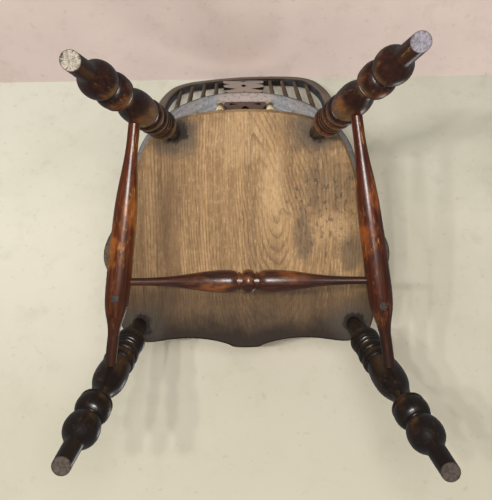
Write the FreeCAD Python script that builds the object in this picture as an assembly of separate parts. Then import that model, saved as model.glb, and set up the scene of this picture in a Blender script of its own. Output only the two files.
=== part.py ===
import FreeCAD, Part
import math
import os

from FreeCAD import Placement, Rotation, Vector

# High-backed English windsor armchair: elm plank seat, turned legs and stretchers, a flat bent
# arm bow, a bent hoop over it, turned sticks and two fretted splats.
# Millimetres. The chair faces -Y, +Z is up, x = 0 is its middle plane and z = 0 the floor.

# Fits: how much larger a bored hole or a mortise is than what goes into it, all round
FIT = 0.1
BORE_END_GAP = 0.5

# Seat: one plank, flat below, hollowed above, with a bevel worked round its lower edge
SEAT_UNDERSIDE_Z = 400.0
SEAT_THICK = 40.0
SEAT_BEVEL_IN = 6.0
SEAT_BEVEL_UP = 13.0
SEAT_TOP_ROUND = 7.0
SEAT_OUTLINE = [(0, 236), (75, 231), (132, 217.5), (172, 191), (194, 153), (212, 88), (229, 0),
                (240, -90), (243, -150), (229, -189), (197, -203), (150, -199), (104, -196.5),
                (66, -200.5), (32, -210), (0, -215)]
REAR_HOLLOW_DEPTH = 9.0
REAR_HOLLOW_RADIUS = 820.0
REAR_HOLLOW_Y = 20.0
THIGH_HOLLOW_DEPTH = 8.0
THIGH_HOLLOW_RADIUS = 460.0
THIGH_HOLLOW_X = 98.0
THIGH_HOLLOW_Y = -62.0

# Legs: where each axis meets the seat's underside and the floor. They were bored by hand, so
# every foot stands out by its own amount.
FRONT_SOCKET = (203.5, -167.0)
REAR_SOCKET = (132.0, 192.5)
FOOT_SPOTS = {
    "leg_front_left": (249.5, -268.5),
    "leg_front_right": (-275.5, -280.5),
    "leg_rear_left": (217.0, 265.0),
    "leg_rear_right": (-223.5, 284.0),
}
LEG_NECK_RADIUS = 13.2
LEG_TENON_DEPTH = 28.0
LEG_FOOT_RADIUS = 13.6
LEG_TAPER_RADIUS = 14.1
LEG_BALUSTER_RADIUS = 27.2
# (height up the leg from the foot, radius): ball, bold ring with a fillet cut on it, neck
LEG_TAPER_HEIGHT = 42.0
LEG_BALL = [(54, 16.4), (60, 20.0), (70, 25.2), (83, 27.4), (97, 25.4), (108, 20.4), (113.5, 16.6)]
LEG_RING = [(115.5, 17.2), (121, 23.6), (129, 26.7), (138, 27.5), (145, 26.6)]
LEG_RING_GROOVE = [(146, 25.2), (147.6, 25.2)]
LEG_RING_FILLET = [(148, 26.2), (150.5, 26.8), (153, 25.6)]
LEG_RING_BACK = [(154, 24.2), (161, 20.0), (168, 17.2)]
LEG_WAIST = (178, 15.6)
# From the waist up the baluster: (share of the way to its shoulder, share of its swelling)
LEG_BALUSTER_SHAPE = [(0.16, 0.24), (0.40, 0.76), (0.74, 1.0)]
# (distance down the leg from the seat, radius): cove, then beads and rings, to the baluster
LEG_TOP_COVE = [(44, 13.2), (49.5, 15.0), (53, 20.0)]
LEG_TOP_BEAD = [(54, 21.6), (59, 25.4), (67, 26.8), (74, 25.2), (78, 22.6)]
LEG_FINE_BEAD_UPPER = [(80.5, 23.0), (84.5, 25.2), (88.5, 23.0)]
LEG_FINE_BEAD_LOWER = [(91, 23.0), (95, 25.2), (99, 23.0)]
LEG_UPPER_RING = [(102, 23.2), (105.5, 26.0), (110.5, 27.0), (115.5, 26.0), (119, 23.2)]
LEG_LOWER_RING = [(124, 23.4), (128.5, 26.4), (135, 27.3), (141.5, 26.4), (146, 23.4)]
LEG_GROOVE_RADIUS = 22.0
LEG_GROOVE_EASE = 0.6
BALUSTER_SHOULDER_RADIUS = 26.4
BALUSTER_SHOULDER_DROP = 16.0
BALUSTER_TOP_RADIUS = 24.6
BALUSTER_TOP_FROM_SEAT = 151.0

# Stretchers: (share of the way from one joint to the other, radius)
STRETCHER_UP_FRONT_LEG = 0.53
STRETCHER_UP_REAR_LEG = 0.55
STRETCHER_TENON_STOP = 6.0
SIDE_STRETCHER_END_RADIUS = 9.4
SIDE_STRETCHER_SWELL = [(0.09, 9.4), (0.17, 10.6), (0.30, 16.4), (0.44, 19.2), (0.58, 20.0),
                        (0.69, 19.8), (0.75, 17.0), (0.80, 11.6), (0.84, 9.4)]
CROSS_JOINT_SHARE = 0.632
CROSS_STRETCHER_END_RADIUS = 6.2
CROSS_SWELL = [(0.07, 6.2), (0.14, 7.2), (0.23, 10.4), (0.31, 15.2), (0.375, 18.0),
               (0.415, 18.6), (0.44, 17.6), (0.456, 15.2)]
CROSS_COLLAR_RADIUS = 15.0
CROSS_GROOVE_RADIUS = 13.0
CROSS_BEAD_RADIUS = 19.4
CROSS_BEAD_HALF_LENGTH = 9.5
CROSS_GROOVE_LENGTH = 3.0
CROSS_NECK_LENGTH = 1.2
PLUG_RADIUS = 6.5
PLUG_DEPTH = 9.0
PLUG_PROUD = 0.6
PLUG_SHARES = {"left": 0.687, "right": 0.719}

# Arm bow: one flat bent piece with round hand-holds that flare outward
ARM_UNDERSIDE_Z = 652.0
ARM_THICK = 23.0
ARM_EDGE_ROUND = 5.0
ARM_OUTER = [(0, 291.5), (78, 284.5), (152, 258), (209, 211), (237, 163), (247, 116), (264, 58),
             (290, 6), (312, -32), (320.5, -66), (313, -98), (288, -117)]
ARM_INNER = [(261, -112), (245, -88), (238, -48), (225, 8), (207, 66), (198, 112),
             (186, 150), (155, 196), (95, 228), (0, 239)]
ARM_STICK_LINE_INSET = 24.0

# Hoop: four arcs a side, from the crown down, in a plane that leans back. The last and
# flattest one draws the legs in towards the arm bow. The plane is also turned a little about
# a plumb line, because the old hoop has warped: its right side stands further back.
HOOP_LEAN_DEG = 22.4
HOOP_WARP_DEG = 2.5
HOOP_Y_AT_ARM = 206.0
HOOP_CROWN_UP = 399.5
HOOP_CROWN_RADIUS = 419.0
HOOP_SHOULDER_RADIUS = 84.0
HOOP_SIDE_RADIUS = 440.0
HOOP_LEG_RADIUS = 1100.0
# How far down from level the hoop runs where each of the first three arcs ends
HOOP_CROWN_END_DEG = 17.5
HOOP_SHOULDER_END_DEG = 72.0
HOOP_SIDE_END_DEG = 90.0
HOOP_WIDE = 26.0
HOOP_THICK = 22.0
HOOP_EDGE_ROUND = 7.0
HOOP_TENON_RADIUS = 9.0
WEDGE_THICK = 3.2
WEDGE_TIP_THICK = 1.4
WEDGE_LENGTH = 17.0
WEDGE_SIDE_GAP = 0.3

# Long sticks between the arm bow and the hoop, counted outward from the upper splat
LONG_STICK_FOOT_X = (66.0, 99.0, 131.0, 162.0)
LONG_STICK_HEAD_X = (72.0, 104.0, 136.0, 165.0)
LONG_STICK_END_RADIUS = 4.6
LONG_STICK_MIDDLE_RADIUS = 5.6
LONG_STICK_TENON_DEPTH = 10.0
LONG_STICK_STRAIGHT = (0.3, 0.6)

# Short turned sticks between the seat and the arm bow: foot on the seat, head in the arm.
# Their turning is (share of the way up from the seat, radius).
SHORT_STICKS = [((49, 211), (54, 267)), ((104, 194), (117, 238)), ((190, 92), (224, 108)),
                ((209, 22), (247, 22))]
SHORT_STICK_END_RADIUS = 5.6
SHORT_STICK_TAPER = [(0.02, 5.6), (0.25, 8.1), (0.48, 9.0)]
SHORT_STICK_BEAD = [(0.55, 7.6), (0.565, 8.6), (0.58, 7.6)]
SHORT_STICK_UPPER = [(0.64, 7.4), (0.98, 5.6)]
STICK_SEAT_DEPTH = 20.0
STICK_ARM_DEPTH = 10.0

# Turned arm supports that carry the hand-holds
SUPPORT_FOOT = (212, -74)
SUPPORT_HEAD = (279, -66)
SUPPORT_END_RADIUS = 9.5
SUPPORT_SEAT_DEPTH = 26.0
SUPPORT_ARM_DEPTH = 14.0
# (share of the way up from the seat, radius): cone, bead, baluster, bead, cone
SUPPORT_SWELL = [(0.03, 9.5), (0.06, 11.4), (0.09, 12.2), (0.11, 11.8), (0.12, 14.2), (0.16, 16.6),
                 (0.20, 14.2), (0.22, 11.0), (0.34, 16.2), (0.47, 20.2), (0.60, 16.4), (0.73, 10.4),
                 (0.75, 13.4), (0.79, 15.4), (0.83, 13.4), (0.84, 11.0), (0.90, 12.6), (0.97, 9.5)]

# Splats: fretted boards on the chair's middle line
SPLAT_THICK = 8.0
SPLAT_TENON_DEPTH = 9.0
UPPER_SPLAT_FOOT_Y = 263.0
UPPER_SPLAT_BACK_OF_HOOP = 2.5
UPPER_SPLAT_FOOT_HALF = 38.0
UPPER_SPLAT_HEAD_HALF = 53.0
LOWER_SPLAT_FOOT_Y = 210.0
LOWER_SPLAT_HEAD_Y = 266.0
LOWER_SPLAT_FOOT_HALF = 36.0
LOWER_SPLAT_HEAD_HALF = 43.0
# Upper splat's outline below its head, and the lower one's: (distance down, half width)
UPPER_SPLAT_SIDE = [(0, UPPER_SPLAT_HEAD_HALF), (34, UPPER_SPLAT_HEAD_HALF), (47, 50)]
UPPER_SPLAT_LOBE = [(70, 47), (94, 51.5), (117, 47)]
UPPER_SPLAT_HIP = [(168, 47), (184, 46), (215, 34), (262, 27), (315, 31)]
LOWER_SPLAT_SIDE = [(0, LOWER_SPLAT_HEAD_HALF), (46, LOWER_SPLAT_HEAD_HALF), (82, 36), (120, 30),
                    (160, 31), (200, 36)]
# Notches cut in from the upper splat's sides, between the runs of its outline: half width left
NOTCH_UPPER_TIP = 33.0
NOTCH_LOWER_TIP = 17.0
# Pierced diamonds and drops on the middle line: (distance down, half width, half height)
UPPER_PIERCINGS = [(12, 13, 6), (90, 8, 25), (208, 7, 26), (285, 6, 34)]
LOWER_PIERCINGS = [(76, 9, 29), (148, 7, 30)]
# Pierced wedges either side: (distance down, half height, outer edge, tip), across from x = 0
LOWER_WEDGE = (27, 13, 33, 15)

# Room kept past a cut so that it goes right through
OVERCUT = 10.0

SEAT_TOP_Z = SEAT_UNDERSIDE_Z + SEAT_THICK
ARM_TOP_Z = ARM_UNDERSIDE_Z + ARM_THICK
HOOP_LEAN = math.radians(HOOP_LEAN_DEG)
HOOP_WARP = math.radians(HOOP_WARP_DEG)


def point(x, y, z):
    return Vector(float(x), float(y), float(z))


def between(start, end, share):
    return start + (end - start) * share


def spline(points):
    """One smooth edge through the points."""
    curve = Part.BSplineCurve()
    curve.interpolate(points)
    return curve.toShape()


def turned(runs):
    """A lathe-turned solid on the Z axis. Each run is a list of (height, radius): two points
    give a straight or conical stretch, three an arc, more one smooth swelling or hollow."""
    edges = []
    last = None
    for run in runs:
        points = [point(radius, 0, height) for height, radius in run]
        if last is not None and last.distanceToPoint(points[0]) > 1e-6:
            edges.append(Part.makeLine(last, points[0]))
        if len(points) == 2:
            edges.append(Part.makeLine(points[0], points[1]))
        elif len(points) == 3:
            edges.append(Part.Arc(*points).toShape())
        else:
            edges.append(spline(points))
        last = points[-1]
    first = edges[0].Vertexes[0].Point
    foot = point(0, 0, first.z)
    head = point(0, 0, last.z)
    edges.append(Part.makeLine(last, head))
    edges.append(Part.makeLine(head, foot))
    edges.append(Part.makeLine(foot, first))
    face = Part.Face(Part.Wire(Part.__sortEdges__(edges)))
    return face.revolve(point(0, 0, 0), point(0, 0, 1), 360)


def stand(shape, start, end):
    """Moves a shape turned on the Z axis so that its axis runs from start towards end."""
    shape.Placement = Placement(start, Rotation(point(0, 0, 1), end - start))
    return shape


def bore(start, end, radius):
    """The round hole that takes a tenon of this radius."""
    return Part.makeCylinder(radius + FIT, start.distanceToPoint(end), start, end - start)


def block(low, high):
    return Part.makeBox(high.x - low.x, high.y - low.y, high.z - low.z, low)


def all_below(height):
    """Everything under this height, further out than the arm bow's widest points."""
    reach = 2 * max(x for x, _ in ARM_OUTER)
    return block(point(-reach, -reach, -reach), point(reach, reach, height))


def mirrored(points):
    """Half an outline, from one middle point to the other, and its mirror image."""
    half = [point(x, y, 0) for x, y in points]
    other = [point(-x, y, 0) for x, y in points]
    return half, other


def smooth_half(points, start_slope, end_slope):
    curve = Part.BSplineCurve()
    curve.interpolate(Points=points, InitialTangent=start_slope, FinalTangent=end_slope)
    return curve.toShape()


def closed_outline(points):
    """A closed outline that is the same on both sides of the middle plane."""
    half, other = mirrored(points)
    right = smooth_half(half, point(1, 0, 0), point(-1, 0, 0))
    left = smooth_half(other, point(-1, 0, 0), point(1, 0, 0))
    return Part.Wire(Part.__sortEdges__([right, left]))


# Seat


def hollow_ball(x, y, radius, depth):
    """The ball that leaves a round hollow of this depth in the seat's top."""
    return Part.makeSphere(radius, point(x, y, SEAT_TOP_Z + radius - depth))


def seat_blank():
    outline = closed_outline(SEAT_OUTLINE)
    outline.translate(point(0, 0, SEAT_UNDERSIDE_Z))
    plank = Part.Face(outline).extrude(point(0, 0, SEAT_THICK))
    lower = [e for e in plank.Edges if e.BoundBox.ZMax < SEAT_UNDERSIDE_Z + FIT]
    plank = plank.makeChamfer(SEAT_BEVEL_UP, SEAT_BEVEL_IN, lower)
    upper = [e for e in plank.Edges if e.BoundBox.ZMin > SEAT_TOP_Z - FIT]
    return plank.makeFillet(SEAT_TOP_ROUND, upper)


def make_seat():
    seat = seat_blank()
    hollows = [
        hollow_ball(0, REAR_HOLLOW_Y, REAR_HOLLOW_RADIUS, REAR_HOLLOW_DEPTH),
        hollow_ball(-THIGH_HOLLOW_X, THIGH_HOLLOW_Y, THIGH_HOLLOW_RADIUS, THIGH_HOLLOW_DEPTH),
        hollow_ball(THIGH_HOLLOW_X, THIGH_HOLLOW_Y, THIGH_HOLLOW_RADIUS, THIGH_HOLLOW_DEPTH),
    ]
    return seat.cut(hollows)


# Legs


def socket_point(leg):
    x, y = FRONT_SOCKET if "front" in leg else REAR_SOCKET
    side = 1 if "left" in leg else -1
    return point(side * x, y, SEAT_UNDERSIDE_Z)


def foot_point(leg):
    x, y = FOOT_SPOTS[leg]
    return point(x, y, 0)


def tenon_tip(leg):
    foot, socket = foot_point(leg), socket_point(leg)
    return socket + (socket - foot).normalize() * LEG_TENON_DEPTH


def grooved(runs):
    """Joins beads and rings by square grooves between them."""
    joined = []
    for lower, upper in zip(runs, runs[1:]):
        start, end = lower[-1][0] + LEG_GROOVE_EASE, upper[0][0] - LEG_GROOVE_EASE
        joined += [lower, [(start, LEG_GROOVE_RADIUS), (end, LEG_GROOVE_RADIUS)]]
    return joined + [runs[-1]]


def leg_runs(length):
    """The turning of a leg, from below the floor to the tip of its tenon."""
    def from_seat(run):
        return [(length - down, radius) for down, radius in reversed(run)]

    baluster_top = length - BALUSTER_TOP_FROM_SEAT
    shoulder = (baluster_top - BALUSTER_SHOULDER_DROP, BALUSTER_SHOULDER_RADIUS)
    waist_height, waist_radius = LEG_WAIST
    room = shoulder[0] - waist_height
    swell = LEG_BALUSTER_RADIUS - waist_radius
    baluster = [LEG_RING_BACK[-1], LEG_WAIST]
    baluster += [(waist_height + up * room, waist_radius + out * swell)
                 for up, out in LEG_BALUSTER_SHAPE]
    baluster += [shoulder, (baluster_top, BALUSTER_TOP_RADIUS)]
    top = [from_seat(run) for run in (LEG_LOWER_RING, LEG_UPPER_RING, LEG_FINE_BEAD_LOWER,
                                      LEG_FINE_BEAD_UPPER, LEG_TOP_BEAD)]
    runs = [[(-OVERCUT, LEG_FOOT_RADIUS), (0, LEG_FOOT_RADIUS)],
            [(0, LEG_FOOT_RADIUS), (LEG_TAPER_HEIGHT, LEG_TAPER_RADIUS)],
            [(LEG_TAPER_HEIGHT, LEG_TAPER_RADIUS)] + LEG_BALL,
            LEG_RING, LEG_RING_GROOVE, LEG_RING_FILLET, LEG_RING_BACK]
    runs += grooved([baluster] + top)
    runs.append(from_seat(LEG_TOP_COVE))
    runs.append([(length - LEG_TOP_COVE[0][0], LEG_NECK_RADIUS),
                 (length + LEG_TENON_DEPTH, LEG_NECK_RADIUS)])
    return runs


def make_leg(leg):
    foot, socket = foot_point(leg), socket_point(leg)
    shape = stand(turned(leg_runs(foot.distanceToPoint(socket))), foot, socket)
    return shape.cut(all_below(0))


# Stretchers


def stretcher_joint(leg):
    share = STRETCHER_UP_FRONT_LEG if "front" in leg else STRETCHER_UP_REAR_LEG
    return between(foot_point(leg), socket_point(leg), share)


def trimmed(start, end, stop):
    """The two ends of a stretcher whose tenons stop short of the axes that they meet."""
    way = (end - start).normalize() * stop
    return start + way, end - way


def side_joints(side):
    return stretcher_joint("leg_rear_" + side), stretcher_joint("leg_front_" + side)


def make_side_stretcher(side):
    start, end = trimmed(*side_joints(side), STRETCHER_TENON_STOP)
    length = start.distanceToPoint(end)
    swell = [(share * length, radius) for share, radius in SIDE_STRETCHER_SWELL]
    runs = [[(0, SIDE_STRETCHER_END_RADIUS), swell[0]], swell,
            [swell[-1], (length, SIDE_STRETCHER_END_RADIUS)]]
    return stand(turned(runs), start, end)


def cross_joint(side):
    rear, front = side_joints(side)
    return between(rear, front, CROSS_JOINT_SHARE)


def make_cross_stretcher():
    start, end = trimmed(cross_joint("left"), cross_joint("right"), STRETCHER_TENON_STOP)
    length = start.distanceToPoint(end)
    middle = length / 2
    bead_edge = middle - CROSS_BEAD_HALF_LENGTH
    swell = [(share * length, radius) for share, radius in CROSS_SWELL]
    collar, groove = swell[-1][0] + CROSS_NECK_LENGTH, bead_edge - CROSS_GROOVE_LENGTH
    half = [[(0, CROSS_STRETCHER_END_RADIUS), swell[0]], swell,
            [(swell[-1][0], CROSS_GROOVE_RADIUS), (collar, CROSS_GROOVE_RADIUS)],
            [(collar, CROSS_COLLAR_RADIUS), (groove, CROSS_COLLAR_RADIUS)],
            [(groove, CROSS_GROOVE_RADIUS), (bead_edge, CROSS_GROOVE_RADIUS)]]
    bead = [(bead_edge, CROSS_COLLAR_RADIUS), (middle, CROSS_BEAD_RADIUS),
            (length - bead_edge, CROSS_COLLAR_RADIUS)]
    other = [[(length - height, radius) for height, radius in reversed(run)]
             for run in reversed(half)]
    return stand(turned(half + [bead] + other), start, end)


def plug_ends(side):
    """A plug stands square to the stretcher, pointing down to the floor."""
    rear, front = side_joints(side)
    heart = between(rear, front, PLUG_SHARES[side])
    way = (front - rear).normalize()
    down = (point(0, 0, -1) - way * point(0, 0, -1).dot(way)).normalize()
    return heart, down


def stretcher_radius_at(share):
    shares = [s for s, _ in SIDE_STRETCHER_SWELL]
    radii = [r for _, r in SIDE_STRETCHER_SWELL]
    for k in range(len(shares) - 1):
        if shares[k] <= share <= shares[k + 1]:
            part = (share - shares[k]) / (shares[k + 1] - shares[k])
            return radii[k] + (radii[k + 1] - radii[k]) * part
    return SIDE_STRETCHER_END_RADIUS


def make_plug(side):
    heart, down = plug_ends(side)
    skin = stretcher_radius_at(PLUG_SHARES[side])
    start = heart + down * (skin - PLUG_DEPTH)
    end = heart + down * (skin + PLUG_PROUD)
    plug = Part.makeCylinder(PLUG_RADIUS, start.distanceToPoint(end), start, end - start)
    face = max(plug.Faces, key=lambda f: f.CenterOfMass.dot(down))
    return plug.makeFillet(PLUG_PROUD, face.Edges)


def plug_hole(side):
    heart, down = plug_ends(side)
    skin = stretcher_radius_at(PLUG_SHARES[side])
    return bore(heart + down * (skin - PLUG_DEPTH - BORE_END_GAP), heart + down * (skin + OVERCUT),
                PLUG_RADIUS)


# Arm bow


def arm_blank():
    outline = closed_outline(ARM_OUTER + ARM_INNER)
    outline.translate(point(0, 0, ARM_UNDERSIDE_Z))
    flat_board = Part.Face(outline).extrude(point(0, 0, ARM_THICK))
    flat = [e for e in flat_board.Edges if e.BoundBox.ZLength < FIT]
    return flat_board.makeFillet(ARM_EDGE_ROUND, flat)


# Hoop


def hoop_across():
    return point(math.cos(HOOP_WARP), -math.sin(HOOP_WARP), 0)


def hoop_rearward():
    return point(math.sin(HOOP_WARP), math.cos(HOOP_WARP), 0)


def on_hoop_plane(x, up):
    """A point of the hoop's leaning plane, measured up the plane from the arm bow's top."""
    foot = point(0, HOOP_Y_AT_ARM, ARM_TOP_Z + up * math.cos(HOOP_LEAN))
    return foot + hoop_across() * x + hoop_rearward() * (up * math.sin(HOOP_LEAN))


def hoop_normal():
    return hoop_rearward() * math.cos(HOOP_LEAN) - point(0, 0, math.sin(HOOP_LEAN))


def arm_underside_up():
    """How far down the hoop's plane the arm bow's underside lies."""
    return -ARM_THICK / math.cos(HOOP_LEAN)


def upper_arcs():
    """The radius of each arc from the crown down, and how steeply it ends."""
    return [(HOOP_CROWN_RADIUS, math.radians(HOOP_CROWN_END_DEG)),
            (HOOP_SHOULDER_RADIUS, math.radians(HOOP_SHOULDER_END_DEG)),
            (HOOP_SIDE_RADIUS, math.radians(HOOP_SIDE_END_DEG))]


def arc_step(start, radius, turn_from, turn_to):
    """End of an arc that starts here, turning from one angle below level to another."""
    out = radius * (math.sin(turn_to) - math.sin(turn_from))
    down = radius * (math.cos(turn_from) - math.cos(turn_to))
    return start[0] + out, start[1] - down


def hoop_arcs(offset, foot_up):
    """One side of a line at this offset outside the hoop's centre line, from the crown to the
    height foot_up: for each arc its start, middle and end as (x, up)."""
    at, turn = (0.0, HOOP_CROWN_UP + offset), 0.0
    arcs = []
    for radius, to in upper_arcs():
        middle = arc_step(at, radius + offset, turn, (turn + to) / 2)
        end = arc_step(at, radius + offset, turn, to)
        arcs.append((at, middle, end))
        at, turn = end, to
    radius = HOOP_LEG_RADIUS + offset
    to = turn + math.asin((at[1] - foot_up) / radius)
    arcs.append((at, arc_step(at, radius, turn, (turn + to) / 2), arc_step(at, radius, turn, to)))
    return arcs


def hoop_edges(offset, side):
    edges = []
    for arc in hoop_arcs(offset, arm_underside_up() - OVERCUT):
        edges.append(Part.Arc(*[on_hoop_plane(side * x, up) for x, up in arc]).toShape())
    return edges


def hoop_foot_ends(side):
    """The hoop's centre line where it meets the arm bow's underside and its top."""
    low = hoop_arcs(0, arm_underside_up())[-1][-1]
    high = hoop_arcs(0, 0)[-1][-1]
    return on_hoop_plane(side * low[0], low[1]), on_hoop_plane(side * high[0], high[1])


def hoop_tenon_axis(side):
    """From below the arm bow to a little above its top, along the hoop's leg."""
    low, high = hoop_foot_ends(side)
    way = (high - low).normalize() * OVERCUT
    return low - way, high + way


def make_hoop():
    edges, ends = [], []
    for side in (1, -1):
        outer = hoop_edges(HOOP_WIDE / 2, side)
        inner = hoop_edges(-HOOP_WIDE / 2, side)
        ends.append(Part.makeLine(outer[-1].Vertexes[-1].Point, inner[-1].Vertexes[-1].Point))
        edges += outer + inner
    face = Part.Face(Part.Wire(Part.__sortEdges__(edges + ends)))
    face.translate(hoop_normal() * (-HOOP_THICK / 2))
    band = face.extrude(hoop_normal() * HOOP_THICK)
    long_edges = [e for e in band.Edges if e.Length > HOOP_WIDE + HOOP_THICK]
    band = band.makeFillet(HOOP_EDGE_ROUND, long_edges)
    band = band.cut(all_below(ARM_TOP_Z))
    low = all_below(ARM_UNDERSIDE_Z)
    for side in (1, -1):
        start, end = hoop_tenon_axis(side)
        tenon = Part.makeCylinder(HOOP_TENON_RADIUS, start.distanceToPoint(end), start, end - start)
        band = band.fuse(tenon.cut(low))
    return band.removeSplitter()


def make_wedge(side):
    """A thin wooden wedge, driven from below into the hoop's tenon."""
    low, high = hoop_foot_ends(side)
    up_way = (high - low).normalize()
    across = hoop_rearward().cross(up_way).normalize()
    deep = up_way.cross(across).normalize()
    reach = HOOP_TENON_RADIUS - WEDGE_SIDE_GAP

    def section(height, thick):
        centre = low + up_way * height
        corners = [centre + across * sx * thick / 2 + deep * sy * reach
                   for sx, sy in ((1, 1), (-1, 1), (-1, -1), (1, -1), (1, 1))]
        return Part.makePolygon(corners)

    wedge = Part.makeLoft([section(-OVERCUT, WEDGE_THICK), section(WEDGE_LENGTH, WEDGE_TIP_THICK)],
                          True)
    return wedge.cut(all_below(ARM_UNDERSIDE_Z))


# Sticks


def arm_line(x):
    """A point on the line of stick holes round the back of the arm bow, on its top."""
    outer = [(px, py) for px, py in ARM_OUTER if px <= ARM_OUTER[4][0]]
    for (x0, y0), (x1, y1) in zip(outer, outer[1:]):
        if x0 <= x <= x1:
            y = y0 + (y1 - y0) * (x - x0) / (x1 - x0)
            return y - ARM_STICK_LINE_INSET
    return outer[-1][1] - ARM_STICK_LINE_INSET


def hoop_up_at(x):
    """Height of the hoop's centre line at this distance from the middle, up its plane."""
    at, turn = (0.0, HOOP_CROWN_UP), 0.0
    for radius, to in upper_arcs():
        end = arc_step(at, radius, turn, to)
        if x <= end[0]:
            here = math.asin(math.sin(turn) + (x - at[0]) / radius)
            return arc_step(at, radius, turn, here)[1]
        at, turn = end, to
    return at[1]


def long_stick_ends(side, place):
    foot_x, head_x = LONG_STICK_FOOT_X[place], LONG_STICK_HEAD_X[place]
    foot = point(side * foot_x, arm_line(foot_x), ARM_TOP_Z)
    head = on_hoop_plane(side * head_x, hoop_up_at(head_x))
    way = (head - foot).normalize()
    return foot - way * LONG_STICK_TENON_DEPTH, head


def make_long_stick(side, place):
    start, end = long_stick_ends(side, place)
    length = start.distanceToPoint(end)
    ends, middle = LONG_STICK_END_RADIUS, LONG_STICK_MIDDLE_RADIUS
    low, high = LONG_STICK_TENON_DEPTH, length - LONG_STICK_TENON_DEPTH
    lower, upper = [(share * length, middle) for share in LONG_STICK_STRAIGHT]
    runs = [[(0, ends), (low, ends)], [(low, ends), lower], [lower, upper],
            [upper, (high, ends)], [(high, ends), (length, ends)]]
    return stand(turned(runs), start, end)


def short_stick_ends(side, place):
    (foot_x, foot_y), (head_x, head_y) = SHORT_STICKS[place]
    foot = point(side * foot_x, foot_y, SEAT_TOP_Z)
    head = point(side * head_x, head_y, ARM_UNDERSIDE_Z)
    way = (head - foot).normalize()
    return foot - way * STICK_SEAT_DEPTH, head + way * STICK_ARM_DEPTH


def make_short_stick(side, place):
    """A long taper, a bead between two short necks, and a cone up to the arm bow."""
    start, end = short_stick_ends(side, place)
    length = start.distanceToPoint(end)
    room = length - STICK_SEAT_DEPTH - STICK_ARM_DEPTH
    taper, bead, upper = [[(STICK_SEAT_DEPTH + share * room, radius) for share, radius in run]
                          for run in (SHORT_STICK_TAPER, SHORT_STICK_BEAD, SHORT_STICK_UPPER)]
    ends = SHORT_STICK_END_RADIUS
    runs = [[(0, ends), (taper[0][0], ends)], taper,
            [taper[-1], (bead[0][0], ends)], bead,
            [(bead[-1][0], ends), upper[0]], upper,
            [(upper[-1][0], ends), (length, ends)]]
    return stand(turned(runs), start, end)


def support_ends(side):
    foot = point(side * SUPPORT_FOOT[0], SUPPORT_FOOT[1], SEAT_TOP_Z)
    head = point(side * SUPPORT_HEAD[0], SUPPORT_HEAD[1], ARM_UNDERSIDE_Z)
    way = (head - foot).normalize()
    return foot - way * SUPPORT_SEAT_DEPTH, head + way * SUPPORT_ARM_DEPTH


def make_support(side):
    start, end = support_ends(side)
    length = start.distanceToPoint(end)
    run_start, run_end = SUPPORT_SEAT_DEPTH, length - SUPPORT_ARM_DEPTH
    room = run_end - run_start
    swell = [(run_start + share * room, radius) for share, radius in SUPPORT_SWELL]
    ends = SUPPORT_END_RADIUS
    runs = [[(0, ends), swell[0]], swell[0:4], swell[4:7], swell[7:12], swell[12:15],
            swell[15:18], [swell[17], (length, ends)]]
    return stand(turned(runs), start, end)


# Splats


def diamond(down, half_wide, half_high, length):
    """A pierced diamond on the middle line, its centre this far below the splat's head."""
    z = length - down
    return [(0, z - half_high), (half_wide, z), (0, z + half_high), (-half_wide, z)]


def wedge_hole(side, down, half_high, edge, tip, length):
    z = length - down
    return [(side * edge, z - half_high), (side * edge, z + half_high), (side * tip, z)]


def splat_board(runs, foot_half, openings, length):
    """A flat board in the XZ plane, with tenons at both ends and pierced openings. The runs are
    one side of its outline from the head down, as (distance down, half width)."""
    tenon = SPLAT_TENON_DEPTH
    head_half = runs[0][0][1]
    edges = []
    for side in (1, -1):
        last = point(side * head_half, 0, length + tenon)
        for run in runs:
            points = [point(side * half, 0, length - down) for down, half in run]
            edges.append(Part.makeLine(last, points[0]))
            if len(points) > 1:
                edges.append(spline(points))
            last = points[-1]
        edges.append(Part.makeLine(last, point(side * foot_half, 0, 0)))
        edges.append(Part.makeLine(point(side * foot_half, 0, 0), point(side * foot_half, 0, -tenon)))
    edges.append(Part.makeLine(point(head_half, 0, length + tenon),
                               point(-head_half, 0, length + tenon)))
    edges.append(Part.makeLine(point(foot_half, 0, -tenon), point(-foot_half, 0, -tenon)))
    face = Part.Face(Part.Wire(Part.__sortEdges__(edges)))
    face.translate(point(0, -SPLAT_THICK / 2, 0))
    solid = face.extrude(point(0, SPLAT_THICK, 0))
    for corners in openings:
        loop = Part.makePolygon([point(x, -SPLAT_THICK, z) for x, z in corners + corners[:1]])
        solid = solid.cut(Part.Face(loop).extrude(point(0, 2 * SPLAT_THICK, 0)))
    return solid


def lean_board(solid, foot, head):
    solid.Placement = Placement(foot, Rotation(point(0, 0, 1), head - foot))
    return solid


def upper_splat_ends():
    foot = point(0, UPPER_SPLAT_FOOT_Y, ARM_TOP_Z)
    head = on_hoop_plane(0, HOOP_CROWN_UP - HOOP_WIDE / 2)
    return foot, head + hoop_normal() * UPPER_SPLAT_BACK_OF_HOOP


def make_upper_splat():
    foot, head = upper_splat_ends()
    length = foot.distanceToPoint(head)
    upper_tip = (UPPER_SPLAT_LOBE[0][0] + UPPER_SPLAT_SIDE[-1][0]) / 2
    lower_tip = (UPPER_SPLAT_HIP[0][0] + UPPER_SPLAT_LOBE[-1][0]) / 2
    runs = [UPPER_SPLAT_SIDE, [(upper_tip, NOTCH_UPPER_TIP)], UPPER_SPLAT_LOBE,
            [(lower_tip, NOTCH_LOWER_TIP)], UPPER_SPLAT_HIP]
    openings = [diamond(*piercing, length) for piercing in UPPER_PIERCINGS]
    board = splat_board(runs, UPPER_SPLAT_FOOT_HALF, openings, length)
    return lean_board(board, foot, head)


def lower_splat_ends():
    return point(0, LOWER_SPLAT_FOOT_Y, SEAT_TOP_Z), point(0, LOWER_SPLAT_HEAD_Y, ARM_UNDERSIDE_Z)


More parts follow.
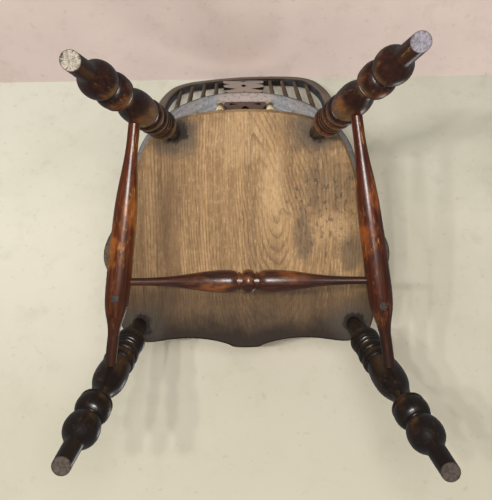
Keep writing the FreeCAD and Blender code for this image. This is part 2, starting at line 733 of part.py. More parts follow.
def make_lower_splat():
    foot, head = lower_splat_ends()
    length = foot.distanceToPoint(head)
    openings = [diamond(*piercing, length) for piercing in LOWER_PIERCINGS]
    openings += [wedge_hole(side, *LOWER_WEDGE, length) for side in (1, -1)]
    board = splat_board([LOWER_SPLAT_SIDE], LOWER_SPLAT_FOOT_HALF, openings, length)
    return lean_board(board, foot, head)


def mortise(foot, head, half, at_head):
    """The slot that takes a splat's tenon, at its foot or at its head."""
    length = foot.distanceToPoint(head)
    depth = SPLAT_TENON_DEPTH + BORE_END_GAP
    low = length - OVERCUT if at_head else -depth
    high = length + depth if at_head else OVERCUT
    thick = SPLAT_THICK / 2 + FIT
    slot = block(point(-half - FIT, -thick, low), point(half + FIT, thick, high))
    return lean_board(slot, foot, head)


# Bored holes, and the chair put together


def past(start, end, more):
    """The line from start to end, made longer at its end."""
    return end + (end - start).normalize() * more


def seat_holes():
    holes = []
    for leg in FOOT_SPOTS:
        holes.append(bore(foot_point(leg), past(foot_point(leg), tenon_tip(leg), BORE_END_GAP),
                          LEG_NECK_RADIUS))
    for side in (1, -1):
        start, end = support_ends(side)
        holes.append(bore(end, past(end, start, BORE_END_GAP), SUPPORT_END_RADIUS))
        for place in range(len(SHORT_STICKS)):
            start, end = short_stick_ends(side, place)
            holes.append(bore(end, past(end, start, BORE_END_GAP), SHORT_STICK_END_RADIUS))
    holes.append(mortise(*lower_splat_ends(), LOWER_SPLAT_FOOT_HALF, False))
    return holes


def arm_holes():
    holes = []
    for side in (1, -1):
        start, end = support_ends(side)
        holes.append(bore(start, past(start, end, BORE_END_GAP), SUPPORT_END_RADIUS))
        for place in range(len(SHORT_STICKS)):
            start, end = short_stick_ends(side, place)
            holes.append(bore(start, past(start, end, BORE_END_GAP), SHORT_STICK_END_RADIUS))
        for place in range(len(LONG_STICK_FOOT_X)):
            start, end = long_stick_ends(side, place)
            holes.append(bore(end, past(end, start, BORE_END_GAP), LONG_STICK_END_RADIUS))
        holes.append(bore(*hoop_tenon_axis(side), HOOP_TENON_RADIUS))
    holes.append(mortise(*upper_splat_ends(), UPPER_SPLAT_FOOT_HALF, False))
    holes.append(mortise(*lower_splat_ends(), LOWER_SPLAT_HEAD_HALF, True))
    return holes


def hoop_holes():
    holes = []
    for side in (1, -1):
        for place in range(len(LONG_STICK_FOOT_X)):
            start, end = long_stick_ends(side, place)
            holes.append(bore(start, past(start, end, BORE_END_GAP), LONG_STICK_END_RADIUS))
    holes.append(mortise(*upper_splat_ends(), UPPER_SPLAT_HEAD_HALF, True))
    return holes


def assemble():
    chair = {"seat": make_seat().cut(seat_holes())}
    for leg in FOOT_SPOTS:
        side = "left" if "left" in leg else "right"
        rear, front = side_joints(side)
        start, end = (rear, front) if "front" in leg else (front, rear)
        tip_start, tip_end = trimmed(start, end, STRETCHER_TENON_STOP - BORE_END_GAP)
        chair[leg] = make_leg(leg).cut(bore(tip_start, tip_end, SIDE_STRETCHER_END_RADIUS))
    for side, other in (("left", "right"), ("right", "left")):
        tip_start, tip_end = trimmed(cross_joint(other), cross_joint(side),
                                     STRETCHER_TENON_STOP - BORE_END_GAP)
        holes = [bore(tip_start, tip_end, CROSS_STRETCHER_END_RADIUS), plug_hole(side)]
        chair["side_stretcher_" + side] = make_side_stretcher(side).cut(holes)
        chair["stretcher_plug_" + side] = make_plug(side)
    chair["cross_stretcher"] = make_cross_stretcher()
    chair["arm_bow"] = arm_blank().cut(arm_holes())
    chair["back_bow"] = make_hoop().cut(hoop_holes())
    chair["upper_splat"] = make_upper_splat()
    chair["lower_splat"] = make_lower_splat()
    for name, side in (("left", 1), ("right", -1)):
        wedge = make_wedge(side)
        chair["bow_wedge_" + name] = wedge
        chair["back_bow"] = chair["back_bow"].cut(wedge)
        chair["arm_support_" + name] = make_support(side)
        for place in range(len(SHORT_STICKS)):
            chair["short_stick_%s_%d" % (name, place + 1)] = make_short_stick(side, place)
        for place in range(len(LONG_STICK_FOOT_X)):
            chair["long_stick_%s_%d" % (name, place + 1)] = make_long_stick(side, place)
    return chair


def write(chair):
    """Every piece goes into its own file, with the chair's own middle at x = y = 0."""
    box = Part.makeCompound(list(chair.values())).optimalBoundingBox(False, False)
    shift = point(0, -(box.YMin + box.YMax) / 2, 0)
    os.makedirs("parts", exist_ok=True)
    for name, shape in chair.items():
        shape.translate(shift)
        shape.Solids[0].exportStep("parts/%s.step" % name)
        print(name, len(shape.Solids), round(shape.Volume), shape.isValid())
    print("shift", shift, "box", box)


write(assemble())
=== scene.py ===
import math
import bpy
from mathutils import Euler, Matrix, Vector

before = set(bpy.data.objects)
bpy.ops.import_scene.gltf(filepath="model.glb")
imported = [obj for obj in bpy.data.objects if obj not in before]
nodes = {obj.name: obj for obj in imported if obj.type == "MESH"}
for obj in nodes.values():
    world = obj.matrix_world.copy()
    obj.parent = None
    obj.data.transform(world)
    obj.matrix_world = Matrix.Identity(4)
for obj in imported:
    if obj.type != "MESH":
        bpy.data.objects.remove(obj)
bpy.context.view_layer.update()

scene = bpy.context.scene
scene.view_settings.view_transform = "Standard"


# The camera: in the photograph the chair is upside down, and the camera looks down at the seat's
# underside. The model stands upright, so its camera is under the floor and looks up.
CHAIR_SHIFT = Vector((0.0, -0.038747, 0.0))
SENSOR_WIDTH = 36.0
FOCAL_IN_PICTURE_WIDTHS = 700.0 / 492.0


def at(x, y, z):
    """A place in the drawing's millimetres, as a place in the scene."""
    return Vector((x, y, z)) / 1000 + CHAIR_SHIFT


photo_eye = at(-6.24, 131.79, -900.99)
photo_turn = Euler([math.radians(angle) for angle in (-6.866520, -179.793747, 0.473729)])
camera_data = bpy.data.cameras.new("photo_camera")
camera_data.sensor_fit = "HORIZONTAL"
camera_data.sensor_width = SENSOR_WIDTH
camera_data.lens = SENSOR_WIDTH * FOCAL_IN_PICTURE_WIDTHS
camera_data.clip_start = 0.02
camera_data.clip_end = 50.0
camera = bpy.data.objects.new("photo_camera", camera_data)
camera.matrix_world = Matrix.Translation(photo_eye) @ photo_turn.to_matrix().to_4x4()
scene.collection.objects.link(camera)
scene.camera = camera


# The stage: a plain pale floor under the upright chair, and the photograph's floor, which touches
# the arm ends and the hoop's crest, and its wall, a little way behind the crest. Each shows only
# from the side that faces the chair.
FLOOR_HALF = 6.0
PHOTO_FLOOR_HALF = 0.53
PHOTO_FLOOR_NEAR = 0.54
PHOTO_WALL_HALF = 0.76
PHOTO_WALL_AWAY = 0.6302
PHOTO_WALL_SKEW = 0.0089
PHOTO_WALL_HEIGHT = 0.34


def tint(code):
    """A screen colour, such as 'a08660', as the linear colour that a shader takes."""
    parts = [int(code[i:i + 2], 16) / 255 for i in (0, 2, 4)]
    return tuple(p / 12.92 if p <= 0.04045 else ((p + 0.055) / 1.055) ** 2.4 for p in parts)


class Finish:
    """One material, and short ways to lay out its nodes. Colours are written as screen codes."""

    def __init__(self, name):
        self.material = bpy.data.materials.new(name)
        self.material.use_nodes = True
        self.tree = self.material.node_tree
        self.tree.nodes.clear()
        self.out = self.add("OutputMaterial")
        self.place = self.add("TexCoord").outputs["Object"]

    def add(self, kind, values=(), **settings):
        node = self.tree.nodes.new("ShaderNode" + kind)
        for key, value in settings.items():
            setattr(node, key, value)
        for key, value in dict(values).items():
            self.feed(node.inputs[key], value)
        return node

    def feed(self, socket, value):
        if isinstance(value, bpy.types.NodeSocket):
            self.tree.links.new(value, socket)
        elif isinstance(value, str):
            socket.default_value = (*tint(value), 1.0)
        else:
            socket.default_value = value

    def math(self, operation, a, b=0.0):
        return self.add("Math", {0: a, 1: b}, operation=operation).outputs[0]

    def vector(self, operation, a, b=(0, 0, 0)):
        node = self.add("VectorMath", {0: a, 1: tuple(b) if isinstance(b, Vector) else b},
                        operation=operation)
        return node.outputs["Value" if operation in ("DOT_PRODUCT", "LENGTH") else "Vector"]

    def facing(self, way):
        """1 where the surface faces that way, -1 where it faces the other way."""
        return self.vector("DOT_PRODUCT", self.add("NewGeometry").outputs["Normal"], way)

    def axes(self, where):
        return self.add("SeparateXYZ", {0: where}).outputs

    def joined(self, x, y, z=0.0):
        return self.add("CombineXYZ", {0: x, 1: y, 2: z}).outputs[0]

    def scaled(self, where, x, y, z):
        return self.vector("MULTIPLY", where, (x, y, z))

    def noise(self, where, scale, detail=3.0, rough=0.55, distortion=0.0):
        """Lumps, scale of them to the metre, with detail finer layers that are rough times as deep."""
        return self.add("TexNoise", {"Vector": where, "Scale": scale, "Detail": detail,
                                     "Roughness": rough, "Distortion": distortion}).outputs["Fac"]

    def span(self, value, low, high, first, last):
        """A soft step from first, where the value is low, to last, where it is high."""
        node = self.add("MapRange", {"Value": value, "From Min": low, "From Max": high,
                                     "To Min": first, "To Max": last}, clamp=True)
        node.interpolation_type = "SMOOTHSTEP"
        return node.outputs["Result"]

    def fade(self, value, low, high, most=1.0):
        return self.span(value, low, high, 0.0, most)

    def swayed(self, value, noise, amount):
        """The value, pulled to and fro by a noise."""
        return self.math("ADD", value, self.math("MULTIPLY", self.math("SUBTRACT", noise, 0.5), amount))

    def mix(self, share, under, over):
        node = self.add("Mix", {0: share, 6: under, 7: over}, data_type="RGBA")
        return node.outputs[2]

    def layers(self, colour, *coats):
        """The colour under coats of (share, colour), the last one on top."""
        for share, coat in coats:
            colour = self.mix(share, colour, coat)
        return colour


def plain_surface(name, pale, deep, shade_falloff=None):
    """Plain paint or screed, seen only from its front. Its last argument, if given, is a painted shade:
    (near y, far y, colour).
    """
    g = Finish(name)
    cloud = g.noise(g.place, 2.2, 5.0, 0.6)
    blotch = g.noise(g.place, 16.0, 5.0, 0.7)
    speck = g.noise(g.place, 60.0, 3.0, 0.6)
    colour = g.mix(g.fade(cloud, 0.35, 0.7), pale, deep)
    # A painted shade: darker towards far y.
    if shade_falloff:
        near_y, far_y, shade = shade_falloff
        colour = g.mix(g.fade(g.axes(g.place)[1], near_y, far_y, 0.75), colour, shade)
    colour = g.layers(colour, (g.fade(blotch, 0.50, 0.72, 0.22), "a7a48f"),
                      (g.fade(speck, 0.62, 0.75, 0.25), "8f8a74"))
    front = g.add("BsdfPrincipled", {"Base Color": colour, "Roughness": 0.85}).outputs[0]
    behind = g.add("NewGeometry").outputs["Backfacing"]
    seen = g.add("LightPath").outputs["Is Camera Ray"]
    clear = g.add("BsdfTransparent").outputs[0]
    surface = g.add("MixShader", {0: g.math("MULTIPLY", behind, seen), 1: front, 2: clear})
    g.feed(g.out.inputs[0], surface.outputs[0])
    return g.material


def stage_sheet(name, corners, material):
    mesh = bpy.data.meshes.new(name)
    mesh.from_pydata(corners, [], [range(len(corners))])
    mesh.materials.append(material)
    sheet = bpy.data.objects.new(name, mesh)
    scene.collection.objects.link(sheet)
    sheet.visible_shadow = False
    sheet.visible_glossy = False
    return sheet


def sideways(place, x):
    return place + Vector((x, 0, 0))


floor_corners = [(FLOOR_HALF * x, FLOOR_HALF * y, 0) for x, y in ((-1, -1), (1, -1), (1, 1), (-1, 1))]
stage_sheet("floor", floor_corners, plain_surface("plain_floor", "d2cfc6", "c9c6bc"))

hand_hold = at(0, -117, 675)
crest = at(0, 353, 1061)
lean = (crest - hand_hold).normalized()
wall_rise = lean.cross(Vector((1, 0, 0))) * PHOTO_WALL_HEIGHT
floor_near = [sideways(hand_hold - lean * PHOTO_FLOOR_NEAR, x)
              for x in (PHOTO_FLOOR_HALF, -PHOTO_FLOOR_HALF)]
wall_foot = [sideways(hand_hold + lean * (PHOTO_WALL_AWAY - PHOTO_WALL_SKEW * x), x)
             for x in (PHOTO_WALL_HALF, -PHOTO_WALL_HALF)]
wall_top = [foot + wall_rise for foot in wall_foot]
# This floor is painted darker towards the chair's front, as a painted shade.
photo_floor = stage_sheet("photo_floor", [*floor_near, wall_foot[1], wall_foot[0]],
                          plain_surface("photo_floor", "d9d5c6", "ccc8b7", (-0.02, -0.50, "b0ac9c")))
photo_wall = stage_sheet("photo_wall", [*wall_foot, wall_top[1], wall_top[0]],
                         plain_surface("photo_wall", "dbc9c2", "d0beb8"))
photo_floor.visible_diffuse = False
photo_wall.visible_diffuse = False


# The light: for the photograph's view a row of small lamps on the camera's left, which throws the
# shadows, a soft lamp near the camera, which shines in the polish, and a broad weak lamp that
# fills. Three more lamps light the upright chair from above.
def lamp(name, place, target, size, power, colour, mirrored=False):
    data = bpy.data.lights.new(name, "AREA")
    data.shape = "DISK"
    data.size = size
    data.energy = power
    data.color = colour
    thing = bpy.data.objects.new(name, data)
    aim = (target - place).to_track_quat("-Z", "Y").to_matrix().to_4x4()
    thing.matrix_world = Matrix.Translation(place) @ aim
    thing.visible_glossy = mirrored
    scene.collection.objects.link(thing)


seat_heart = at(0, 0, 420)
chair_heart = Vector((0, 0, 0.5))
for k, side_way in enumerate((0.34, 0.54, 0.74)):
    lamp("key_below_%d" % k, seat_heart + Vector((side_way, 0.32, -2.08)), seat_heart,
         size=0.06, power=9.2, colour=(1.0, 0.97, 0.92))
lamp("shine_below", seat_heart + Vector((-0.05, 0.36, -1.7)), seat_heart,
     size=0.55, power=15, colour=(1.0, 0.95, 0.92), mirrored=True)
lamp("fill_below", seat_heart + Vector((-0.8, 0.2, -2.4)), seat_heart,
     size=2.4, power=8, colour=(1.0, 0.97, 0.94))
lamp("key_above", Vector((-1.3, -1.6, 2.6)), chair_heart,
     size=1.4, power=88, colour=(1.0, 0.98, 0.95))
lamp("glint_above", Vector((-1.1, -1.5, 2.3)), chair_heart,
     size=0.8, power=2.5, colour=(1.0, 1.0, 1.0), mirrored=True)
lamp("fill_above", Vector((1.8, 1.4, 1.8)), chair_heart,
     size=1.6, power=62, colour=(0.95, 0.97, 1.0))
world = bpy.data.worlds.new("room")
world.use_nodes = True
room = world.node_tree.nodes["Background"]
room.inputs["Color"].default_value = (0.80, 0.79, 0.76, 1.0)
room.inputs["Strength"].default_value = 0.15
scene.world = world


# The legs: beech, turned with a ball, rings and a baluster, stained nearly black and rubbed
# red-brown on their crests. The foot is sawn off and bare, and a glued tenon holds the top.
# A pair of numbers in metres is where a change of colour begins and where it ends.
SEAT_UNDERSIDE = 400
FOOT_CUT = 0.0003
FOOT_RIM = (0.0118, 0.0136)
LEG_CREST = (0.0235, 0.0270)
WAX_BLUR = 0.27
RELIEF_DEPTH = 0.0012


def local_axes(g, start, end):
    """The place in a turned piece, as (across, across, along), its radius, and its length so far."""
    along = (end - start).normalized()
    across = along.orthogonal().normalized()
    here = g.vector("SUBTRACT", g.place, start)
    x, y, z = [g.vector("DOT_PRODUCT", here, way) for way in (across, along.cross(across), along)]
    return g.joined(x, y, z), g.vector("LENGTH", g.joined(x, y)), z


def grain(g, where, spacing, pith, wander=0.002):
    """Year rings (0 to 1 across each) and fine fibres, round a pith beside the piece."""
    drift = g.noise(g.scaled(where, 9, 9, 2.2), 1.0, 3.0)
    flat = g.scaled(g.vector("ADD", where, pith), 1, 1, 0.02)
    ring = g.math("ADD", g.vector("LENGTH", flat), g.math("MULTIPLY", drift, wander * 6))
    fibre = g.noise(g.scaled(where, 1400, 1400, 26), 1.0, 3.0, 0.6)
    return g.math("FRACT", g.math("DIVIDE", ring, spacing)), fibre


def polish(g, colour, rough, height, relief, coat, shine):
    """The finished wood: relief is its bumps' strength, coat its wax, shine its own gloss."""
    bumped = g.add("Bump", {"Height": height, "Strength": relief, "Distance": RELIEF_DEPTH})
    shader = g.add("BsdfPrincipled", {"Base Color": colour, "Roughness": rough,
                                      "Normal": bumped.outputs[0], "Coat Weight": coat,
                                      "Coat Roughness": WAX_BLUR, "Specular IOR Level": shine})
    g.feed(g.out.inputs[0], shader.outputs[0])
    return g.material


def sawn_foot(g, where, radius, pale, dark, cracks):
    """Bare end grain, as (where it is, its colour, its cracks that run out from the middle)."""
    cut = g.math("LESS_THAN", g.axes(g.place)[2], FOOT_CUT)
    x, y, _ = g.axes(where)
    angle = g.math("ARCTAN2", x, y)
    spoke = g.joined(g.math("MULTIPLY", angle, 2.6), g.math("MULTIPLY", radius, 60.0))
    split = g.noise(spoke, 2.0, 3.0, 0.5, 0.3)
    rings = g.math("FRACT", g.math("MULTIPLY", radius, 620.0))
    dirt = g.noise(where, 240.0, 4.0, 0.65)
    crack = g.math("MULTIPLY", g.fade(split, 0.55, 0.62), cracks)
    bare = g.layers(pale, (g.fade(dirt, 0.35, 0.7), dark), (g.fade(rings, 0.5, 1.0, 0.35), dark),
                    (crack, "2b2420"), (g.fade(radius, *FOOT_RIM, 0.8), "3a2c22"))
    return cut, bare, crack


def turned_wood(name, start, end, stain, crest, seed, patches=(0.45, 0.70), flecks=0.0,
                end_darkening=None, foot=None):
    """Stain is (deep, mid, rubbed), crest the radii between which it is rubbed, in patches.
    The end darkening is (from, to, share) along the piece, and foot is (pale, dark, cracks)."""
    g = Finish(name)
    where, radius, along = local_axes(g, start, end)
    ring, fibre = grain(g, where, spacing=0.0042, pith=(0.05 + seed * 0.01, 0.02, seed))
    large = g.noise(g.scaled(where, 1, 1, 0.5), 26.0 + seed, 4.0, 0.6)
    streak = g.noise(g.scaled(where, 260, 260, 9), 1.0, 3.0, 0.6)
    scuffs = g.noise(g.scaled(where, 1, 1, 0.35), 210.0, 4.0, 0.7)
    deep, mid, rubbed = stain
    worn = g.math("MULTIPLY", g.fade(radius, *crest), g.fade(large, *patches))
    worn = g.math("MULTIPLY", worn, g.span(fibre, 0.25, 0.6, 0.35, 1.0))
    colour = g.layers(deep, (g.fade(streak, 0.3, 0.72), mid), (g.fade(ring, 0.55, 0.98, 0.45), deep),
                      (worn, rubbed))
    if flecks:
        dash = g.noise(g.scaled(where, 420, 420, 60), 1.0, 2.0, 0.5)
        scraped = g.math("MULTIPLY", g.fade(dash, 0.60, 0.70), g.fade(large, 0.42, 0.60, flecks))
        colour = g.mix(scraped, colour, "b07f42")
    # The piece is painted darker towards its end.
    if end_darkening:
        length = (end - start).length
        far = g.swayed(along, large, 0.10)
        colour = g.mix(g.fade(far, end_darkening[0] * length, end_darkening[1] * length, end_darkening[2]), colour, "180a00")
    colour = g.mix(g.fade(scuffs, 0.62, 0.74, 0.55), colour, "100906")
    rough = g.math("ADD", g.span(large, 0.3, 0.75, 0.27, 0.40), g.fade(scuffs, 0.4, 0.7, 0.20))
    tool_marks = g.add("TexWave", {"Vector": where, "Scale": 260.0, "Distortion": 1.5,
                                   "Detail": 2.0}, bands_direction="Z").outputs["Fac"]
    height = g.math("ADD", g.math("MULTIPLY", fibre, 0.3), g.math("MULTIPLY", tool_marks, 0.06))
    height = g.math("ADD", height, g.math("MULTIPLY", scuffs, 0.35))
    if foot:
        cut, bare, crack = sawn_foot(g, where, radius, *foot)
        colour = g.mix(cut, colour, bare)
        rough = g.math("MAXIMUM", rough, g.math("MULTIPLY", cut, 0.8))
        height = g.math("SUBTRACT", height, g.math("MULTIPLY", g.math("MULTIPLY", crack, cut), 1.5))
    return polish(g, colour, rough, height, relief=0.10, coat=1.0, shine=0.4)


def dress(node, material):
    mesh = nodes[node].data
    mesh.materials.clear()
    mesh.materials.append(material)
    mesh.shade_smooth()


leg_stains = {"front": (("090503", "180c07", "3e2210"), 0.12),
              "rear": (("140704", "34140a", "6b3c1a"), 0.30)}
leg_rows = (("front_left", (249.5, -268.5), (203.5, -167.0), ("5f564e", "3c342e", 0.3), (0.47, 0.66)),
            ("front_right", (-275.5, -280.5), (-203.5, -167.0), ("5b524b", "3c3430", 0.3), (0.47, 0.66)),
            ("rear_left", (217.0, 265.0), (132.0, 192.5), ("a39e92", "746b5e", 1.0), (0.47, 0.66)),
            ("rear_right", (-223.5, 284.0), (-132.0, 192.5), ("8a8790", "5f5b64", 0.6), (0.44, 0.64)))
legs = {}
for seed, (leg, foot_xy, socket_xy, foot_end, patches) in enumerate(leg_rows, start=1):
    stain, flecks = leg_stains[leg.split("_")[0]]
    start, end = at(*foot_xy, 0), at(*socket_xy, SEAT_UNDERSIDE)
    legs[leg] = (start, end)
    dress("leg_" + leg, turned_wood("leg_" + leg, start, end, stain, LEG_CREST, float(seed),
                                    patches, flecks, foot=foot_end))


# The stretchers: turned beech, the side pair with one long swelling and the cross stretcher with
# two and a bead, red-brown where boots polished them. Round tenons hold the side pair in the legs
# and the cross stretcher in the side pair.
FRONT_JOINT = 0.53
REAR_JOINT = 0.55
CROSS_JOINT = 0.632
SIDE_CREST = (0.008, 0.0195)
CROSS_CREST = (0.008, 0.018)

cross = []
for side, stain, seed in (("left", ("2b1003", "602a06", "945616"), 5.0),
                          ("right", ("260b03", "501d06", "854310"), 6.5)):
    foot, socket = legs["rear_" + side]
    start = foot.lerp(socket, REAR_JOINT)
    foot, socket = legs["front_" + side]
    end = foot.lerp(socket, FRONT_JOINT)
    cross.append(start.lerp(end, CROSS_JOINT))
    dress("side_stretcher_" + side,
          turned_wood("side_stretcher_" + side, start, end, stain, SIDE_CREST, seed,
                      (0.46, 0.66), flecks=0.8, end_darkening=(0.50, 0.95, 0.75)))
dress("cross_stretcher", turned_wood("cross_stretcher", *cross, ("1c0c08", "43200f", "7a451c"),
                                     CROSS_CREST, 8.0, (0.45, 0.66)))


# The plugs and wedges: small dull pegs of end grain, driven into bored holes in the side
# stretchers, and thin pale wedges, driven into the hoop's tenons from below the arm bow.
def plug_wood(name, pale, dark):
    g = Finish(name)
    dirt = g.noise(g.place, 420.0, 4.0, 0.6)
    colour = g.mix(g.fade(dirt, 0.3, 0.7), pale, dark)
    return polish(g, colour, g.span(dirt, 0.3, 0.7, 0.5, 0.75), dirt, relief=0.4, coat=0.0, shine=0.5)


plug_look = plug_wood("plug_end_grain", "40342f", "211916")
wedge_look = plug_wood("wedge_wood", "8b8378", "5c554e")
for side in ("left", "right"):
    dress("stretcher_plug_" + side, plug_look)
    dress("bow_wedge_" + side, wedge_look)


# The seat: one elm plank, bored for the legs. Its underside is bare, planed and dry: fine grain
# from front to rear, a flame figure and grime on the sitter's right, dark streaks on the left that
# are partly the side stretcher's painted shadow, a pale patch on the left that is a painted
# highlight, rings round the leg sockets, and a front that grows dark, partly as the cross
# stretcher's painted shadow. Its top is waxed and rubbed.
FIGURE_X, FIGURE_Y = -58, 40
SEAT_YEAR_RING = 0.0052
WAXED_FROM = (0.010, 0.016)
# The front darkens in two steps; the first is partly the cross stretcher's painted shadow.
FRONT_DARKENS = (-0.100, -0.160)
FRONT_BLACKENS = (-0.165, -0.230)
RIM_GRIME = (0.200, 0.238)
SOCKET_GRIME = (0.060, 0.022)
SOCKET_EDGE = (0.024, 0.015)


def seat_rings(g, x, y, z, drift, fine_drift):
    """Year rings of a flat-sawn board: upright lines that part round a leaning oval."""
    above = g.math("MAXIMUM", y, 0.0)
    near_figure = g.span(g.math("ABSOLUTE", x), 0.03, 0.10, 1.0, 0.0)
    leaning = g.math("SUBTRACT", x, g.math("MULTIPLY", above, g.math("MULTIPLY", near_figure, 0.31)))
    stretch = g.math("ADD", 0.34, g.math("MULTIPLY", g.math("GREATER_THAN", y, 0.0), -0.16))
    oval = g.joined(leaning, g.math("MULTIPLY", y, stretch))
    out = g.math("ADD", g.vector("LENGTH", oval), g.math("MULTIPLY", drift, 0.022))
    out = g.math("ADD", out, g.math("ADD", g.math("MULTIPLY", fine_drift, 0.0035),
                                    g.math("MULTIPLY", z, 0.4)))
    out = g.math("DIVIDE", g.math("MULTIPLY", out, out), g.math("ADD", out, 0.06))
    return g.math("FRACT", g.math("DIVIDE", out, SEAT_YEAR_RING))


def seat_wood():
    g = Finish("seat_elm")
    here = g.vector("SUBTRACT", g.place, at(FIGURE_X, FIGURE_Y, SEAT_UNDERSIDE))
    x, y, z = g.axes(here)
    drift = g.noise(g.scaled(here, 1, 0.4, 1), 8.0, 3.0, 0.5)
    fine_drift = g.noise(g.scaled(here, 1, 0.25, 1), 60.0, 3.0, 0.6)
    ring = seat_rings(g, x, y, z, drift, fine_drift)
    late = g.math("MULTIPLY", g.fade(ring, 0.50, 0.94), g.fade(ring, 1.0, 0.96))
    streak = g.noise(g.scaled(here, 1, 0.03, 1), 210.0, 4.0, 0.65, 0.1)
    broad = g.noise(g.scaled(here, 1, 0.07, 1), 34.0, 4.0, 0.6, 0.2)
    fibre = g.noise(g.scaled(here, 1500, 34, 1500), 1.0, 3.0, 0.6)
    pores = g.noise(g.scaled(here, 900, 70, 900), 1.0, 3.0, 0.65)
    cloud = g.noise(here, 9.0, 5.0, 0.62)
    patch = g.noise(g.vector("ADD", here, (3.1, 1.7, 0.4)), 17.0, 6.0, 0.72)
    speck = g.noise(g.scaled(here, 1, 0.6, 1), 115.0, 4.0, 0.72)
    zone = g.noise(g.scaled(here, 1, 0.22, 1), 24.0, 3.0, 0.5)
    dash = g.noise(g.scaled(here, 1, 0.16, 1), 300.0, 3.0, 0.6)
    mottle = g.noise(here, 95.0, 4.0, 0.7)

    def spot(x_mm, y_mm, wide, high, share, wobble=3.2):
        """A stain: the share inside an oval, with a soft edge that a noise pulls to and fro."""
        off = g.vector("SUBTRACT", g.place, at(x_mm, y_mm, SEAT_UNDERSIDE))
        far = g.vector("LENGTH", g.scaled(off, 1000 / wide, 1000 / high, 0))
        return g.fade(g.swayed(far, patch, wobble), 1.35, 0.65, share)

    bare = g.layers(
        "a5835b",
        (g.fade(broad, 0.32, 0.68), "7e6243"),
        (g.fade(streak, 0.36, 0.66, 0.65), "6d5136"),
        (spot(10, 190, 60, 45, 0.30), "bd9f79"),
        (spot(-52, 100, 22, 60, 0.35, 1.6), "bd9f79"),
        (spot(FIGURE_X, FIGURE_Y, 34, 50, 0.30, 1.0), "b8986e"),
        # A pale oval on the left is a painted highlight.
        (spot(176, 60, 20, 70, 0.30), "a98a64"),
        (g.fade(mottle, 0.45, 0.68, 0.30), "75634c"),
        (g.fade(mottle, 0.50, 0.30, 0.25), "c4a881"),
        (g.math("MULTIPLY", late, g.span(zone, 0.40, 0.60, 0.12, 0.62)), "553c27"),
        (g.fade(fibre, 0.44, 0.75, 0.34), "ccb18a"),
        (g.fade(dash, 0.56, 0.70, 0.45), "5a4430"),
        (g.fade(dash, 0.42, 0.30, 0.35), "cdb491"),
        (g.fade(pores, 0.60, 0.70, 0.50), "4a331f"))

    # The stains: grime on the sitter's right, with a clean place in it, and dark streaks on the
    # left, which are partly grain and partly the left side stretcher's painted shadow.
    speckled = spot(-150, 70, 75, 95, 1.0)
    bare = g.layers(
        bare,
        (spot(-150, 100, 44, 56, 0.36), "54483b"),
        (spot(-107, 4, 16, 42, 0.62), "54483b"),
        (spot(-196, -40, 22, 40, 0.60), "54483b"),
        (spot(-70, 205, 30, 22, 0.25), "54483b"),
        (spot(-160, 18, 38, 26, 0.32), "b89a74"),
        (g.math("MULTIPLY", speckled, g.fade(speck, 0.52, 0.64, 0.65)), "3c3228"),
        # Dark upright bands on the left: partly grain streaks, partly the side stretcher's painted shadow.
        (spot(137, 0, 16, 210, 0.50, 1.4), "5c4431"),
        (spot(160, 0, 9, 210, 0.40, 1.4), "5c4431"),
        (spot(205, 0, 18, 210, 0.30, 1.4), "5c4431"))

    # The dark front, partly the cross stretcher's painted shadow, the grimy rim, and the rings of
    # grime and old polish round the leg sockets.
    depth = g.swayed(y, patch, 0.07)
    rim = g.fade(g.math("ABSOLUTE", g.math("ADD", x, FIGURE_X / 1000)), *RIM_GRIME)
    bare = g.layers(
        bare,
        (g.fade(depth, *FRONT_DARKENS, 0.72), "45362a"),
        (g.fade(depth, *FRONT_BLACKENS, 0.92), "241d19"),
        (g.math("MULTIPLY", rim, g.span(patch, 0.3, 0.7, 0.35, 0.8)), "433729"))
    for _, socket in legs.values():
        gap = g.swayed(g.vector("LENGTH", g.vector("SUBTRACT", g.place, socket)), patch, 0.080)
        bare = g.layers(bare, (g.fade(gap, *SOCKET_GRIME, 0.75), "45403a"),
                        (g.fade(gap, *SOCKET_EDGE, 0.85), "1d1511"))

    waxed = g.layers("7a4a26", (g.fade(cloud, 0.3, 0.7), "54301a"),
                     (g.math("MULTIPLY", late, 0.6), "2e190d"), (g.fade(fibre, 0.45, 0.75, 0.3), "8f5c30"))
    top = g.fade(z, *WAXED_FROM)
    rough = g.math("ADD", g.math("MULTIPLY", top, -0.33), g.span(fibre, 0.3, 0.7, 0.62, 0.76))
    height = g.math("ADD", g.math("MULTIPLY", fibre, 0.5), g.math("MULTIPLY", late, -0.4))
    height = g.math("ADD", height, g.math("MULTIPLY", g.fade(pores, 0.6, 0.70), -0.6))
    return polish(g, g.mix(top, bare, waxed), rough, height, relief=0.35, coat=0.0, shine=0.35)


dress("seat", seat_wood())


# The arm supports: beech, turned like small legs and stained brown. A round tenon holds each in
# the seat, and another in the hand-hold of the arm bow.
SUPPORT_FOOT = (212, -74, 440)
SUPPORT_HEAD = (279, -66, 652)
SUPPORT_CREST = (0.010, 0.020)

for side, way in (("left", 1), ("right", -1)):
    start, end = [at(way * x, y, z) for x, y, z in (SUPPORT_FOOT, SUPPORT_HEAD)]
    dress("arm_support_" + side,
          turned_wood("arm_support_" + side, start, end, ("22120c", "4b2716", "6d4424"),
                      SUPPORT_CREST, 9.0 + way))


# The arm bow: a flat ash board, steamed and bent, so that its grain follows the bend. It rests on
# the supports and short sticks. Its underside is bare: grey, pinkish in the middle, brown at
# the hand-holds.
ARM_HEART = at(0, 60, 664)
BARE_BELOW = (0.6548, 0.6526)
PINK_HEART = (0.072, 0.040)
HANDLED_FRONT = (0.06, -0.02)
BEND_RADIUS = 0.21


